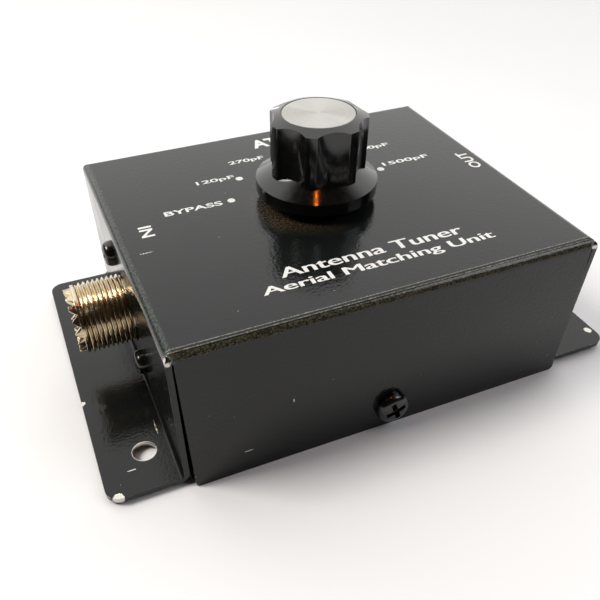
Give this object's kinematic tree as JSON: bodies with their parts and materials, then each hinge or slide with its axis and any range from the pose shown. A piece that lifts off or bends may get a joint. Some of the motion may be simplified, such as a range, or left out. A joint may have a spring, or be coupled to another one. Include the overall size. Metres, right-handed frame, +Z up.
{
  "type": "antenna matching box",
  "caption": "Radio antenna matching box: folded steel case with mounting flanges, a threaded coaxial socket in each end, and a fluted selector knob on top",
  "frame": {"origin": "centre of the base, on the surface the box stands on", "axes": "+X from the IN socket to the OUT socket, +Y from the front flap to the rear, +Z up through the knob"},
  "size_m": [0.127, 0.0862, 0.0553],
  "materials": {
    "black_paint": "satin black paint with a fine orange peel, chipped at corners",
    "black_screw": "black oxide, slightly glossy",
    "nickel": "bright nickel plating, lightly tarnished",
    "zinc_plate": "zinc plated sheet steel",
    "bright_steel": "polished steel",
    "silver_plate": "silver plated brass",
    "brass": "turned brass",
    "white_insulator": "moulded insulating plastic",
    "phenolic": "paper phenolic board",
    "mica_dip": "dipped resin coating",
    "tinned_copper": "tinned copper",
    "knob_black": "moulded phenolic, semi-gloss",
    "spun_aluminium": "spun with fine concentric lines",
    "white_fill": "white paint filled in a groove"
  },
  "bodies": {
    "case": {"cover": "black_paint", "bottom_plate": "zinc_plate", "cover_screw_front": "black_screw", "cover_screw_rear": "black_screw", "socket_shell_in": "nickel", "socket_shell_out": "nickel", "socket_insulator_in": "white_insulator", "socket_insulator_out": "white_insulator", "socket_contact_in": "silver_plate", "socket_contact_out": "silver_plate", "socket_screws_in": "black_screw", "socket_screws_out": "black_screw", "socket_washers_in": "zinc_plate", "socket_washers_out": "zinc_plate", "socket_nuts_in": "zinc_plate", "socket_nuts_out": "zinc_plate", "panel_nut": "nickel", "panel_washer": "zinc_plate", "switch_bushing": "brass", "index_plate": "zinc_plate", "detent_ball": "bright_steel", "detent_spring": "bright_steel", "tie_screws": "zinc_plate", "tie_spacers": "brass", "tie_nuts": "zinc_plate", "stator_wafer": "phenolic", "stator_contacts": "silver_plate", "capacitor_120pf": "mica_dip", "capacitor_270pf": "mica_dip", "capacitor_560pf": "mica_dip", "capacitor_1000pf": "mica_dip", "capacitor_1500pf": "mica_dip", "ground_lug": "tinned_copper", "ground_wire": "tinned_copper", "line_wire": "tinned_copper", "common_wire": "tinned_copper"},
    "control": {"knob": "knob_black", "knob_cap": "spun_aluminium", "pointer_line": "white_fill", "knob_insert": "brass", "knob_set_screw": "bright_steel", "switch_shaft": "bright_steel", "shaft_clip": "bright_steel", "detent_wheel": "zinc_plate", "rotor_disc": "phenolic", "rotor_blade": "silver_plate"}
  },
  "joints": [
    {"name": "selector", "type": "hinge", "parent": "case", "child": "control", "pos_m": [0, 0.0015, 0.045], "axis": [0, 0, 1], "range_deg": [-120, 30]}
  ]
}
